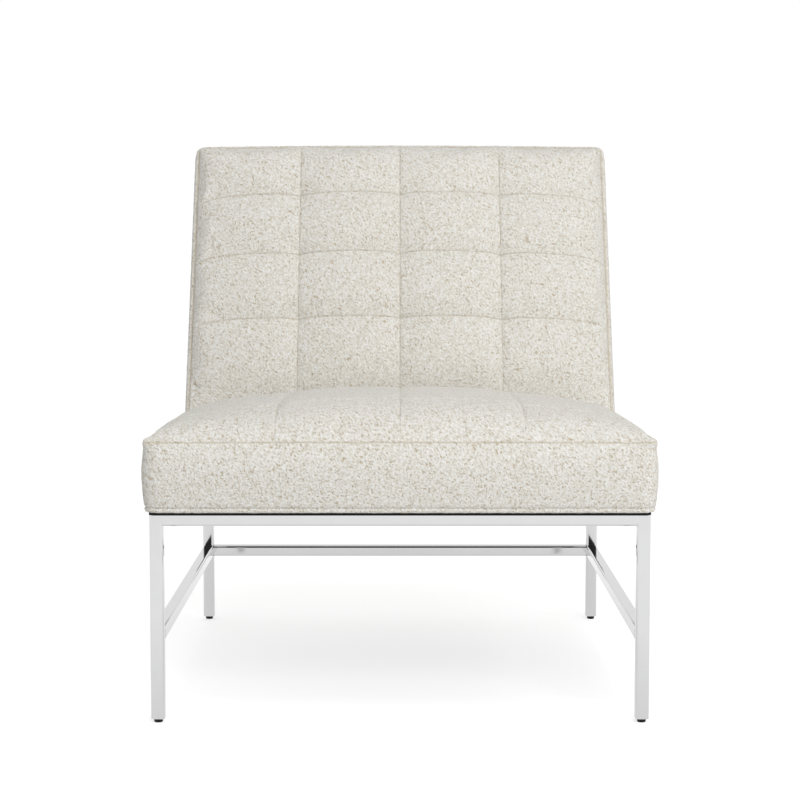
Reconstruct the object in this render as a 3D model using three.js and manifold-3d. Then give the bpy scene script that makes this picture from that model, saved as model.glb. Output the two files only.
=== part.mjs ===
// Armless slipper chair. Two tufted cushions sit on a hardwood L frame, which is bolted to an open base of
// mirror-polished square steel tube. Millimetres, +Z up. The chair faces -Y and stands on z = 0.
import * as THREE from 'three';
import { mergeVertices } from 'three/addons/utils/BufferGeometryUtils.js';
import Module from 'manifold-3d';

const wasm = await Module();
wasm.setup();

// Steel base
const baseWidth = 690;
const baseDepth = 764;
const baseTop = 294;
const tubeSize = 19;
const tubeWall = 1.5;
const tubeCorner = 4;
const stretcherTop = 131;

// Glides in the legs
const footHeight = 5.5;
const footTopRadius = 7.25;
const footTipRadius = 5.6;
const plugLength = 14;

// Hardwood frame of the seat
const railHeight = 55;
const railThickness = 22;
const rearRailThickness = 18;
const blockSize = 60;

// Hardwood frame of the back
const postWidth = 42;
const postDepth = 28;
const postInset = 2;
const backRailWidth = 40;
const backRailFoot = 22;

// Bolts that hold the posts, and bolts that hold the seat frame to the base
const postBoltRadius = 4;
const postBoltHeadRadius = 9;
const postBoltHeadHeight = 4.5;
const postBoltNutRadius = 7;
const postBoltNutHeight = 6.5;
const postBoltPitch = 24;
const postBoltLift = 3;
const baseBoltRadius = 3;
const baseBoltHeadRadius = 5.5;
const baseBoltHeadHeight = 4;
const baseBoltInset = 13;
const baseBoltBite = 32;
const baseBoltFromFront = 130;
const baseBoltFromRear = 190;

// Elastic webbing
const webbingThickness = 2;
const webbingWidth = 70;
const webbingMargin = 20;
const webbingLeastGap = 38;
const backWebbingWidth = 60;
const backWebbingLeastGap = 22;

// Both cushions
const slabThickness = 96;
const coverWall = 3.5;
const flangeThickness = 1.6;
const flangeWidth = 30;
const boxingCorner = 15;
const rollHeight = 13;
const rollWidth = 15;
const seamShoulder = 13;
const crownPower = 2.2;

// Seat cushion
const seatDepth = 515;
const seatCrown = 39.5;
const seatCrownRise = 120;
const seatRearRise = 26;
const seatTuckGap = 9;
const seatRollFade = 400;
const seatPuff = 3.5;
const seatTuftDip = 2;
const seatFirstRow = 102;
const seatRowPitch = 106;
const seatSeamCorner = 6;
const seatBulge = 12;
const earLength = 8;
const earReach = 45;
const earLift = 3;

// Back cushion
const reclineDegrees = 25.5;
const backLength = 479;
const backCrown = 27;
const backCrownRise = 120;
const backFootRise = 100;
const backRollFade = 150;
const backPuff = 8;
const backTuftDip = 15;
const backColumnPitch = 167;
const backFirstRow = 103.5;
const backRowPitch = 113.75;
const backSeamCorner = 14;
const backBulge = 8;
const backBow = 3;

// Trim
const dustCoverThickness = 1;
const dustCoverInset = 1.5;
const weltRadius = 3.6;
const backPanelThickness = 2.5;
const backPanelRecess = 0.5;

// Fits
const clearance = 0.3;
const plugClearance = 0.4;
const boltClearance = 0.25;
const skirtLift = 1.2;
const overrun = 5;

// Counts of what repeats
const tuftColumns = 4;
const tuftRowSeams = 3;
const tubeCornerSteps = 3;
const coarseCornerSteps = 1;
const roundSteps = 16;
const weltSides = 8;
const weltCornerSteps = 4;

// Boxing from the edge seam down: share of its height, share of the side bulge, share of the corner ear
const boxingShares = [
  [0.12, 0.5, 0.5],
  [0.36, 0.95, 0.15],
  [0.7, 0.95, 0],
  [1, 0.55, 0],
];
// Where grid lines cross a rolled edge, and the plain inner solids, as shares
const rollLineShares = [0.3, 1];
const innerLineShares = [0, 0.25, 0.5, 0.75, 1];

// Places that follow from the sizes above
const halfBase = baseWidth / 2;
const tubeHalf = tubeSize / 2;
const seatBottom = baseTop + dustCoverThickness;
const seatSeam = seatBottom + slabThickness;
const recline = THREE.MathUtils.degToRad(reclineDegrees);
const weltSize = 2 * weltRadius;
const coverBottomHalf = halfBase - clearance;
const railBottom = seatBottom + flangeThickness + clearance;
const railTop = railBottom + railHeight;
const railHalf = coverBottomHalf - coverWall - clearance;
const railFront = halfBase - railHalf;
const backFoot = seatSeam + clearance;
const slabReach = slabThickness / Math.cos(recline);
const seatEnd = seatDepth + slabReach;
const railRear = seatEnd - railFront;
const tuftDepth = backTuftDip + coverWall;
const railCorner = boxingCorner - railFront;
const postRear = slabThickness - backPanelRecess - backPanelThickness - postInset;
const postFront = postRear - postDepth;
const postOuter = railHalf - railThickness - clearance;
const betweenPosts = postOuter - postWidth - clearance;

const materials = {
  steel: new THREE.MeshStandardMaterial({ color: 0xd9dadc, roughness: 0.06, metalness: 1 }),
  zinc: new THREE.MeshStandardMaterial({ color: 0xb4b7ba, roughness: 0.35, metalness: 1 }),
  plastic: new THREE.MeshStandardMaterial({ color: 0x191919, roughness: 0.5, metalness: 0 }),
  wood: new THREE.MeshStandardMaterial({ color: 0xc9a878, roughness: 0.7, metalness: 0 }),
  webbing: new THREE.MeshStandardMaterial({ color: 0x35322e, roughness: 0.9, metalness: 0 }),
  foam: new THREE.MeshStandardMaterial({ color: 0xece0b9, roughness: 1, metalness: 0 }),
  boucle: new THREE.MeshStandardMaterial({ color: 0xd9d6cc, roughness: 0.95, metalness: 0 }),
  lining: new THREE.MeshStandardMaterial({ color: 0x17171a, roughness: 0.95, metalness: 0 }),
};

// Solid of a closed geometry, for joining and cutting
function toSolid(geometry) {
  const bare = geometry.clone();
  bare.deleteAttribute('normal');
  bare.deleteAttribute('uv');
  const merged = mergeVertices(bare);
  return new wasm.Manifold(new wasm.Mesh({
    numProp: 3,
    vertProperties: merged.attributes.position.array,
    triVerts: merged.index.array,
  }));
}

function toGeometry(solid) {
  const { vertProperties, triVerts } = solid.getMesh();
  const geometry = new THREE.BufferGeometry();
  geometry.setAttribute('position', new THREE.BufferAttribute(vertProperties, 3));
  geometry.setIndex(new THREE.BufferAttribute(triVerts, 1));
  geometry.computeVertexNormals();
  return geometry;
}

// Geometry with the space of every cutter taken out
function cut(geometry, cutters) {
  const solid = cutters.reduce((rest, cutter) => rest.subtract(toSolid(cutter)), toSolid(geometry));
  return toGeometry(solid);
}

// Geometry from points and triangles, without normals of its own
function facets(points, triangles) {
  const geometry = new THREE.BufferGeometry();
  geometry.setAttribute('position', new THREE.Float32BufferAttribute(points.flat(), 3));
  geometry.setIndex(triangles.flat());
  geometry.computeVertexNormals();
  return geometry;
}

// Box between two opposite corners
function block(low, high) {
  const size = low.map((value, axis) => high[axis] - value);
  const middle = low.map((value, axis) => (value + high[axis]) / 2);
  return new THREE.BoxGeometry(...size).translate(...middle);
}

// Straight pin of a radius between two heights on its own axis
function pin(radius, low, high) {
  const length = high - low;
  const geometry = new THREE.CylinderGeometry(radius, radius, length, roundSteps);
  return geometry.rotateX(Math.PI / 2).translate(0, 0, low + length / 2);
}

// Rounded square, centred, for the outside or the bore of a tube
function roundedSquare(shape, size, radius) {
  const reach = size / 2 - radius;
  shape.absarc(reach, reach, radius, 0, Math.PI / 2);
  shape.absarc(-reach, reach, radius, Math.PI / 2, Math.PI);
  shape.absarc(-reach, -reach, radius, Math.PI, 3 * Math.PI / 2);
  shape.absarc(reach, -reach, radius, 3 * Math.PI / 2, 2 * Math.PI);
  return shape;
}

// Square tube along +Z from 0 to its length. A mitred end is cut at 45 degrees, with its long side at -X.
function squareTube(length, mitredStart, mitredEnd) {
  const section = roundedSquare(new THREE.Shape(), tubeSize, tubeCorner);
  const bore = tubeSize - 2 * tubeWall;
  section.holes.push(roundedSquare(new THREE.Path(), bore, tubeCorner - tubeWall));
  const settings = { depth: length, bevelEnabled: false, curveSegments: tubeCornerSteps };
  const geometry = new THREE.ExtrudeGeometry(section, settings);
  const position = geometry.attributes.position;
  for (let i = 0; i < position.count; i += 1) {
    const fromLongSide = position.getX(i) + tubeHalf;
    const atEnd = position.getZ(i) > length / 2;
    if (atEnd && mitredEnd) position.setZ(i, length - fromLongSide);
    if (!atEnd && mitredStart) position.setZ(i, fromLongSide);
  }
  return geometry;
}

// Tapered foot under the tube with a square plug inside it
function glide() {
  const width = tubeSize - 2 * tubeWall - 2 * plugClearance;
  const corner = tubeCorner - tubeWall - plugClearance;
  const foot = new THREE.CylinderGeometry(footTopRadius, footTipRadius, footHeight, roundSteps);
  foot.rotateX(Math.PI / 2).translate(0, 0, footHeight / 2);
  const core = pin(footTipRadius, footHeight / 2, footHeight + plugLength / 2);
  const settings = { depth: plugLength, bevelEnabled: false, curveSegments: tubeCornerSteps };
  const plug = new THREE.ExtrudeGeometry(roundedSquare(new THREE.Shape(), width, corner), settings);
  plug.translate(0, 0, footHeight);
  return toGeometry(toSolid(foot).add(toSolid(core)).add(toSolid(plug)));
}

// Bolt along +Z: the head below z = 0, the shank above, and a nut where one is given
function bolt(radius, headRadius, headHeight, length, nutStart, nutRadius, nutHeight) {
  const outline = [
    [0, -headHeight],
    [headRadius / 2, -headHeight],
    [headRadius, -headHeight / 2],
    [headRadius, 0],
    [radius, 0],
  ];
  if (nutHeight > 0) {
    outline.push([radius, nutStart], [nutRadius, nutStart]);
    outline.push([nutRadius, nutStart + nutHeight], [radius, nutStart + nutHeight]);
  }
  outline.push([radius, length], [0, length]);
  const profile = outline.map(([across, along]) => new THREE.Vector2(across, along));
  return new THREE.LatheGeometry(profile, roundSteps).rotateX(Math.PI / 2);
}

// Side profile in the plane of the given points, drawn out along X between two places
function sidePlate(points, low, high) {
  const outline = new THREE.Shape(points.map(([along, up]) => new THREE.Vector2(along, up)));
  const geometry = new THREE.ExtrudeGeometry(outline, { depth: high - low, bevelEnabled: false });
  geometry.rotateY(Math.PI / 2).rotateX(Math.PI / 2);
  return geometry.translate(low, 0, 0);
}

// A grid point of a cushion moved to a plan with rounded corners, grown outwards by a bulge
function planPoint(form, x, y, bulge, radius) {
  const fromSide = form.half - Math.abs(x);
  const fromEnd = Math.min(y, form.length - y);
  const inset = Math.min(fromSide, fromEnd);
  const along = Math.max(fromSide, fromEnd) - inset;
  const reach = Math.max(radius - inset, 0);
  const turned = along < reach ? along / reach : Math.sign(along);
  const turn = (1 + turned) * Math.PI / 4;
  const newInset = inset + (reach + bulge) * (1 - Math.sin(turn)) - bulge;
  const cornerRun = (reach + bulge) * (1 - Math.cos(turn)) - bulge;
  const newAlong = inset + (turned < 1 ? cornerRun : along);
  const [side, end] = fromSide <= fromEnd ? [newInset, newAlong] : [newAlong, newInset];
  const atStart = y < form.length / 2;
  return [Math.sign(x) * (form.half - side), atStart ? end : form.length - end, side, end, atStart];
}

// How far a point is pulled out into the ear of the nearest front corner, from 0 to 1
function earShare(form, side, end, atStart) {
  return atStart && form.ear > 0 ? Math.exp(-Math.hypot(side, end) / earReach) : 0;
}

// Rounded climb from 0 at the edge to 1 at the given distance
function climb(distance, rise) {
  const rest = 1 - THREE.MathUtils.clamp(distance / rise, 0, 1);
  return Math.sqrt(1 - rest * rest);
}

// Gentle climb that starts at a slope and levels out
function swell(distance, rise) {
  const rest = 1 - THREE.MathUtils.clamp(distance / rise, 0, 1);
  return 1 - rest * rest;
}

// Where a place lies in its tuft cell: 0 on a seam, 1 in the middle
function cellSwell(place, stops) {
  const upper = stops.findIndex((stop, i) => i > 0 && place <= stop);
  const low = stops[upper - 1];
  const share = (place - low) / (stops[upper] - low);
  return Math.sqrt(Math.max(4 * share * (1 - share), 0));
}

// Height of the top panel above the edge seam, without its tufting
function crownHeight(form, x, y) {
  const across = 1 - Math.abs(x / form.half) ** crownPower;
  const along = swell(y, form.startRise) * form.endClimb(form.crownEnd - y, form.endRise);
  const fromEdge = Math.min(form.half - Math.abs(x), form.rollsAtStart ? y : form.length, form.crownEnd - y);
  const fade = THREE.MathUtils.clamp(form.fadeFrom(y) / form.rollFade, 0, 1);
  return form.crown * across * along + rollHeight * climb(fromEdge, rollWidth) * fade;
}

// Height of the tufted panel: pillows between the seams, and a dip where two seams cross
function tuftedHeight(form, x, y) {
  if (y >= form.crownEnd) return 0;
  const pillow = cellSwell(x, form.columnStops) * cellSwell(y, form.rowStops);
  const toColumn = Math.min(...form.columnSeams.map((seam) => Math.abs(x - seam)));
  const toRow = Math.min(...form.rowSeams.map((seam) => Math.abs(y - seam)));
  const dip = Math.max(1 - Math.hypot(toColumn, toRow) / (2 * seamShoulder), 0);
  return crownHeight(form, x, y) + form.puff * pillow - form.dip * dip;
}

// Grid lines from 0 to the length: two at each rolled edge, and one on and to either side of each seam
function gridLines(low, high, seams) {
  const stops = [low, ...seams, high];
  const lines = [low];
  for (let cell = 1; cell < stops.length; cell += 1) {
    const [start, end] = [stops[cell - 1], stops[cell]];
    const rolls = rollLineShares.map((share) => share * rollWidth);
    const near = cell === 1 ? rolls : [seamShoulder];
    const far = cell === stops.length - 1 ? rolls.toReversed() : [seamShoulder];
    lines.push(...near.map((step) => start + step), (start + end) / 2, ...far.map((step) => end - step), end);
  }
  return lines;
}

// Closed cushion: a top panel over a grid of lines, boxing below its edge, and a flat underside
function cushion(form, xLines, yLines, heightAt, levels) {
  const points = [];
  const triangles = [];
  const place = (x, y, level, height) => {
    const [planX, planY, side, end, atStart] = planPoint(form, x, y, level.bulge, level.radius);
    const ear = form.ear * level.earShare * earShare(form, side, end, atStart);
    const bow = y === form.length ? form.bow * (1 - (x / form.half) ** 2) : 0;
    const lift = level.earShare * earLift * ear / earLength;
    points.push([planX + Math.sign(planX) * ear, planY + bow - ear, height + lift]);
    return points.length - 1;
  };
  const top = yLines.map((y) => xLines.map((x) => place(x, y, form.seamLevel, heightAt(x, y) - form.lowered)));
  const lastRow = yLines.length - 1;
  const lastColumn = xLines.length - 1;
  for (let row = 0; row < lastRow; row += 1) {
    for (let column = 0; column < lastColumn; column += 1) {
      const [a, b] = [top[row][column], top[row][column + 1]];
      const [c, d] = [top[row + 1][column + 1], top[row + 1][column]];
      triangles.push([a, b, c], [a, c, d]);
    }
  }
  const rim = [
    ...xLines.slice(0, -1).map((x, i) => [x, 0, top[0][i]]),
    ...yLines.slice(0, -1).map((y, i) => [form.half, y, top[i][lastColumn]]),
    ...xLines.slice(1).map((x, i) => [x, form.length, top[lastRow][i + 1]]).toReversed(),
    ...yLines.slice(1).map((y, i) => [-form.half, y, top[i + 1][0]]).toReversed(),
  ];
  let ring = rim.map(([, , index]) => index);
  for (const level of levels) {
    const next = rim.map(([x, y]) => place(x, y, level, -level.drop));
    ring.forEach((upper, i) => {
      const after = (i + 1) % ring.length;
      triangles.push([upper, next[i], ring[after]], [ring[after], next[i], next[after]]);
    });
    ring = next;
  }
  const middle = points.push([0, form.length / 2, -levels.at(-1).drop]) - 1;
  ring.forEach((corner, i) => triangles.push([middle, ring[(i + 1) % ring.length], corner]));
  return facets(points, triangles);
}

// Boxing levels over a height, set inwards by an inset
function boxingLevels(form, height, inset, firstDrop) {
  const levels = boxingShares.map(([dropShare, bulgeShare, ear]) => ({
    drop: dropShare * height,
    bulge: bulgeShare * form.sideBulge - inset,
    radius: boxingCorner,
    earShare: ear,
  }));
  return levels.filter((level) => level.drop > firstDrop);
}

function seamStops(form) {
  const columnStops = [-form.half, ...form.columnSeams, form.half];
  const rowStops = [0, ...form.rowSeams, form.length];
  return { ...form, columnStops, rowStops };
}

const evenly = (count, pitch) => Array.from({ length: count }, (_, i) => (i - (count - 1) / 2) * pitch);

// Middles of as many straps as a space takes with at least the given gap, spread from edge to edge
function strapPlaces(space, width, leastGap) {
  const count = Math.floor((space + leastGap) / (width + leastGap));
  return evenly(count, (space - width) / (count - 1));
}

// The seat cushion's plan and crown. The crown ends in front of the back, and the rest lies flat under it.
const seatForm = seamStops({
  half: halfBase,
  length: seatEnd,
  crown: seatCrown,
  startRise: seatCrownRise,
  endRise: seatRearRise,
  endClimb: climb,
  crownEnd: seatDepth - seatTuckGap,
  rollsAtStart: true,
  rollFade: seatRollFade,
  fadeFrom: (y) => seatDepth - y,
  columnSeams: evenly(tuftColumns - 1, baseWidth / tuftColumns),
  rowSeams: Array.from({ length: tuftRowSeams }, (_, i) => seatFirstRow + i * seatRowPitch),
  puff: seatPuff,
  dip: seatTuftDip,
  ear: earLength,
  sideBulge: seatBulge,
  bow: 0,
  lowered: 0,
  seamLevel: { bulge: 0, radius: seatSeamCorner, earShare: 1 },
});

// The back cushion lies in its own frame: Y up along the slab, Z forwards from the edge seam
const backForm = seamStops({
  half: halfBase,
  length: backLength,
  crown: backCrown,
  startRise: backFootRise,
  endRise: backCrownRise,
  endClimb: swell,
  crownEnd: backLength,
  rollsAtStart: false,
  rollFade: backRollFade,
  fadeFrom: (y) => y,
  columnSeams: evenly(tuftColumns - 1, backColumnPitch),
  rowSeams: Array.from(
    { length: tuftRowSeams },
    (_, i) => backLength - backFirstRow - (tuftRowSeams - 1 - i) * backRowPitch,
  ),
  puff: backPuff,
  dip: backTuftDip,
  ear: 0,
  sideBulge: backBulge,
  bow: backBow,
  lowered: 0,
  seamLevel: { bulge: 0, radius: backSeamCorner, earShare: 0 },
});

const seatBoxing = slabThickness - weltSize - 2 * clearance;
const weltRebate = [
  { drop: seatBoxing + clearance, bulge: -clearance, radius: boxingCorner, earShare: 0 },
  { drop: slabThickness, bulge: -clearance, radius: boxingCorner, earShare: 0 },
];

function outerSeat() {
  const xLines = gridLines(-seatForm.half, seatForm.half, seatForm.columnSeams);
  const rearRoll = [...rollLineShares.toReversed(), 0].map((share) => seatForm.length - share * rollWidth);
  const yLines = [...gridLines(0, seatForm.crownEnd, seatForm.rowSeams), ...rearRoll];
  const levels = [...boxingLevels(seatForm, seatBoxing, 0, 0), ...weltRebate];
  return cushion(seatForm, xLines, yLines, (x, y) => tuftedHeight(seatForm, x, y), levels);
}

// Plain crowned solid inside a cover: its hollow, or with a gap the foam that fills it
function innerSolid(form, boxingHeight, gap, lastLevels) {
  const wall = coverWall + gap;
  const inner = { ...form, lowered: tuftDepth + gap, bow: 0 };
  inner.seamLevel = { bulge: -wall, radius: boxingCorner, earShare: 0 };
  const spread = (low, high) => innerLineShares.map((share) => low + share * (high - low));
  const xLines = [-form.half, ...spread(boxingCorner - form.half, form.half - boxingCorner), form.half];
  const crownStops = [0, boxingCorner, form.startRise, form.crownEnd - form.endRise, form.crownEnd];
  const yLines = [...crownStops, form.length - boxingCorner, form.length].sort((low, high) => low - high);
  const kept = yLines.filter((y, i) => i === 0 || y - yLines[i - 1] > clearance);
  const heightAt = (x, y) => (y >= form.crownEnd ? 0 : crownHeight(form, x, y));
  const levels = [...boxingLevels(form, boxingHeight, wall, inner.lowered), ...lastLevels];
  return cushion(inner, xLines, kept, heightAt, levels.map((level) => ({ ...level, earShare: 0 })));
}

// Matrix that stands a piece of the back on the seat at its rake
const backMatrix = new THREE.Matrix4()
  .makeTranslation(0, seatDepth, backFoot)
  .multiply(new THREE.Matrix4().makeRotationX(Math.PI / 2 - recline));

// Length up the back's slab at which a given height lies, at a depth behind the edge seam
const slabPlace = (height, depth) => (height - backFoot) / Math.cos(recline) + depth * Math.tan(recline);

// One raked post, level at the bottom. Growing it gives the cutter for its slots.
function post(side, grown) {
  const [front, rear] = [postFront - grown, postRear + grown];
  const bottom = railBottom - grown;
  const upperEnd = backLength - backRailFoot + grown;
  const outline = [
    [slabPlace(bottom, front), -front],
    [upperEnd, -front],
    [upperEnd, -rear],
    [slabPlace(bottom, rear), -rear],
  ];
  const low = postOuter - postWidth - grown;
  const high = postOuter + grown;
  return side > 0 ? sidePlate(outline, low, high) : sidePlate(outline, -high, -low);
}

// Everything below the level foot of the back, in the back's frame
function belowFoot() {
  const reach = baseWidth;
  const geometry = block([-reach, -reach, -reach], [reach, 0, reach]);
  return geometry.rotateX(recline);
}

function seatCover() {
  const hollowFoot = { bulge: -clearance - coverWall, radius: boxingCorner, earShare: 0 };
  const hollow = innerSolid(seatForm, seatBoxing, 0, [
    { ...hollowFoot, drop: seatBoxing + clearance },
    { ...hollowFoot, drop: slabThickness - flangeThickness },
  ]);
  const opening = block(
    [flangeWidth - halfBase, flangeWidth, -slabThickness - overrun],
    [halfBase - flangeWidth, seatForm.length - flangeWidth, -slabThickness / 2],
  );
  return cut(outerSeat(), [hollow, opening]);
}

function seatFoam() {
  const skirtFoot = slabThickness - weltSize - skirtLift;
  const foam = innerSolid(seatForm, seatBoxing, clearance, []);
  const frameSpace = block(
    [-railHalf - clearance, railFront - clearance, -slabThickness],
    [railHalf + clearance, railRear + clearance, railTop + webbingThickness + clearance - seatSeam],
  );
  const belowSkirt = block([-baseWidth, -baseWidth, -2 * slabThickness], [baseWidth, 2 * baseWidth, -skirtFoot]);
  return cut(foam, [frameSpace, belowSkirt]);
}

function backCover() {
  const xLines = gridLines(-backForm.half, backForm.half, backForm.columnSeams);
  const yLines = gridLines(0, backForm.length, backForm.rowSeams);
  const heightAt = (x, y) => (y === backForm.length ? 0 : tuftedHeight(backForm, x, y));
  const levels = boxingLevels(backForm, slabThickness, 0, 0);
  const outer = cushion(backForm, xLines, yLines, heightAt, levels);
  const rearBulge = boxingShares.at(-1)[1] * backBulge - coverWall;
  const throughRear = { drop: slabThickness + overrun, bulge: rearBulge, radius: boxingCorner, earShare: 0 };
  return cut(outer, [innerSolid(backForm, slabThickness, 0, [throughRear]), belowFoot()]);
}

function backFoam() {
  const foam = innerSolid(backForm, slabThickness, clearance, []);
  const framed = backLength - backRailFoot + clearance;
  const frameDepth = postFront - webbingThickness - 2 * clearance;
  const frameHalf = postOuter + clearance;
  const frameSpace = block([-frameHalf, -baseWidth, -2 * slabThickness], [frameHalf, framed, -frameDepth]);
  const rearSkin = block(
    [-baseWidth, -baseWidth, -2 * slabThickness],
    [baseWidth, 2 * baseWidth, -postRear],
  );
  return cut(foam, [frameSpace, rearSkin, belowFoot().translate(0, clearance, 0)]);
}

// Outside-back panel, set inside the rear edge of the back's boxing
function backPanel() {
  const inset = boxingShares.at(-1)[1] * backBulge - coverWall - clearance;
  const [half, top] = [halfBase + inset, backLength + inset];
  const radius = boxingCorner + inset;
  const outline = new THREE.Shape();
  outline.moveTo(-half, 0);
  outline.lineTo(half, 0);
  outline.lineTo(half, top - radius);
  outline.absarc(half - radius, top - radius, radius, 0, Math.PI / 2);
  outline.absarc(radius - half, top - radius, radius, Math.PI / 2, Math.PI);
  const settings = { depth: backPanelThickness, bevelEnabled: false, curveSegments: coarseCornerSteps };
  const rear = slabThickness - backPanelRecess;
  const geometry = new THREE.ExtrudeGeometry(outline, settings).translate(0, 0, -rear);
  return cut(geometry, [belowFoot()]);
}

// Corded welt round the seat's lower edge: a round section carried along a rounded rectangle
function seatWelt() {
  const points = [];
  const triangles = [];
  const centre = coverBottomHalf + clearance + weltRadius;
  const grow = centre - halfBase;
  const rim = [];
  const ends = [boxingCorner, seatForm.length - boxingCorner];
  const corners = [[1, ends[0]], [1, ends[1]], [-1, ends[1]], [-1, ends[0]]];
  corners.forEach(([sign, y], corner) => {
    for (let step = 0; step <= weltCornerSteps; step += 1) {
      const angle = (corner - 1 + step / weltCornerSteps) * Math.PI / 2;
      rim.push([sign * (halfBase - boxingCorner), y, angle]);
    }
  });
  for (const [x, y, angle] of rim) {
    for (let side = 0; side < weltSides; side += 1) {
      const around = (side + 0.5) * 2 * Math.PI / weltSides;
      const out = boxingCorner + grow + weltRadius * Math.cos(around);
      const up = weltRadius * Math.sin(around);
      points.push([x + out * Math.cos(angle), y + out * Math.sin(angle), up]);
    }
  }
  rim.forEach((_, ring) => {
    const next = (ring + 1) % rim.length;
    for (let side = 0; side < weltSides; side += 1) {
      const after = (side + 1) % weltSides;
      const [a, b] = [ring * weltSides + side, ring * weltSides + after];
      const [c, d] = [next * weltSides + after, next * weltSides + side];
      triangles.push([a, c, b], [a, d, c]);
    }
  });
  return facets(points, triangles);
}

const chair = new THREE.Group();
const backUnit = new THREE.Group();
backUnit.applyMatrix4(backMatrix);
chair.add(backUnit);

function add(parent, name, geometry, material, position = [0, 0, 0], rotation = [0, 0, 0]) {
  const mesh = new THREE.Mesh(geometry, material);
  mesh.name = name;
  mesh.position.set(...position);
  mesh.rotation.set(...rotation);
  parent.add(mesh);
}

const sides = [['left', 1], ['right', -1]];
const legX = halfBase - tubeHalf;
const baseBoltX = halfBase - baseBoltInset;
const baseBoltPlaces = [['front', baseBoltFromFront], ['rear', seatEnd - baseBoltFromRear]];

// Holes through the side top rails, the dust cover, the cover's flange and the wooden rails
function baseBoltHoles(side, low, high) {
  return baseBoltPlaces.map(([, y]) => {
    return pin(baseBoltRadius + boltClearance, low, high).translate(side * baseBoltX, y, 0);
  });
}

const postMiddle = (postFront + postRear) / 2;
const boltMiddle = railBottom + railHeight / 2 + postBoltLift;
const boltHeights = evenly(2, postBoltPitch).map((offset) => boltMiddle + offset);
const postBoltPlaces = boltHeights.map((height) => {
  const along = slabPlace(height, postMiddle);
  return [seatDepth + along * Math.sin(recline) + postMiddle * Math.cos(recline), height];
});

// Space for the post bolts, along X through a wooden rail and its post, with room for heads and nuts
function postBoltSpace(side, growth) {
  return postBoltPlaces.flatMap(([y, z]) => {
    const shank = pin(postBoltRadius + growth, 0, railHalf + overrun);
    const head = pin(postBoltHeadRadius + growth, railHalf - growth, railHalf + postBoltHeadHeight + growth);
    return [shank, head].map((space) => space.rotateY(side * Math.PI / 2).translate(0, y, z));
  });
}

// Steel base: a mitred leg frame in front and behind, joined by straight tubes at each side
function buildBase() {
  const ends = [['front', tubeHalf], ['rear', baseDepth - tubeHalf]];
  const legLength = baseTop - footHeight;
  for (const [end, y] of ends) {
    for (const [side, sign] of sides) {
      const turn = sign > 0 ? Math.PI : 0;
      const leg = squareTube(legLength, false, true);
      add(chair, `${end}_${side}_leg`, leg, materials.steel, [sign * legX, y, footHeight], [0, 0, turn]);
      add(chair, `${end}_${side}_glide`, glide(), materials.plastic, [sign * legX, y, 0]);
    }
    const rail = squareTube(baseWidth, true, true);
    add(chair, `${end}_top_rail`, rail, materials.steel, [-halfBase, y, baseTop - tubeHalf], [0, Math.PI / 2, 0]);
  }
  const sideLength = baseDepth - 2 * tubeSize;
  for (const [side, sign] of sides) {
    const rail = squareTube(sideLength, false, false).rotateX(-Math.PI / 2);
    const place = [sign * legX, tubeSize, baseTop - tubeHalf];
    const bored = cut(rail.translate(...place), baseBoltHoles(sign, baseTop - tubeSize - overrun, seatBottom));
    add(chair, `${side}_top_rail`, bored, materials.steel);
    const stretcher = squareTube(sideLength, false, false).rotateX(-Math.PI / 2);
    add(chair, `${side}_stretcher`, stretcher, materials.steel, [sign * legX, tubeSize, stretcherTop - tubeHalf]);
  }
  const innerHalf = halfBase - tubeSize;
  const rearPlace = [-innerHalf, baseDepth - tubeHalf, stretcherTop - tubeHalf];
  const rear = squareTube(2 * innerHalf, false, false);
  add(chair, 'rear_stretcher', rear, materials.steel, rearPlace, [0, Math.PI / 2, 0]);
}

// Wooden side rail with its two outer corners rounded to the cushion's plan
function sideWoodRail(sign, inner) {
  const outline = new THREE.Shape();
  const centre = railHalf - railCorner;
  outline.moveTo(inner, railFront);
  outline.absarc(centre, railFront + railCorner, railCorner, -Math.PI / 2, 0);
  outline.absarc(centre, railRear - railCorner, railCorner, 0, Math.PI / 2);
  outline.lineTo(inner, railRear);
  const settings = { depth: railHeight, bevelEnabled: false, curveSegments: coarseCornerSteps };
  const geometry = new THREE.ExtrudeGeometry(outline, settings).translate(0, 0, railBottom);
  return sign > 0 ? geometry : geometry.rotateZ(Math.PI).translate(0, railFront + railRear, 0);
}

// Hardwood frame of the seat, its corner blocks and webbing
function buildSeatFrame() {
  const inner = railHalf - railThickness;
  for (const [side, sign] of sides) {
    const rail = sideWoodRail(sign, inner);
    const boltTop = railBottom + baseBoltBite + clearance;
    const holes = [...baseBoltHoles(sign, railBottom - overrun, boltTop), ...postBoltSpace(sign, boltClearance)];
    add(chair, `seat_${side}_wood_rail`, cut(rail, holes), materials.wood);
    const corner = new THREE.Shape();
    corner.moveTo(0, 0);
    corner.lineTo(-sign * blockSize, 0);
    corner.lineTo(0, blockSize);
    const settings = { depth: railHeight / 2, bevelEnabled: false };
    const wedge = new THREE.ExtrudeGeometry(corner, settings);
    const place = [sign * inner, railFront + railThickness, railBottom];
    add(chair, `seat_${side}_corner_block`, wedge, materials.wood, place);
  }
  const front = block([-inner, railFront, railBottom], [inner, railFront + railThickness, railTop]);
  add(chair, 'seat_front_wood_rail', front, materials.wood);
  const rear = block([-inner, railRear - rearRailThickness, railBottom], [inner, railRear, railTop]);
  add(chair, 'seat_rear_wood_rail', rear, materials.wood);
  strapPlaces(2 * (betweenPosts - webbingMargin), webbingWidth, webbingLeastGap).forEach((x, i) => {
    const edge = webbingWidth / 2;
    const low = [x - edge, railFront + webbingThickness, railTop];
    const high = [x + edge, railRear - webbingThickness, railTop + webbingThickness];
    add(chair, `seat_webbing_${i + 1}`, block(low, high), materials.webbing);
  });
}

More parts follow.
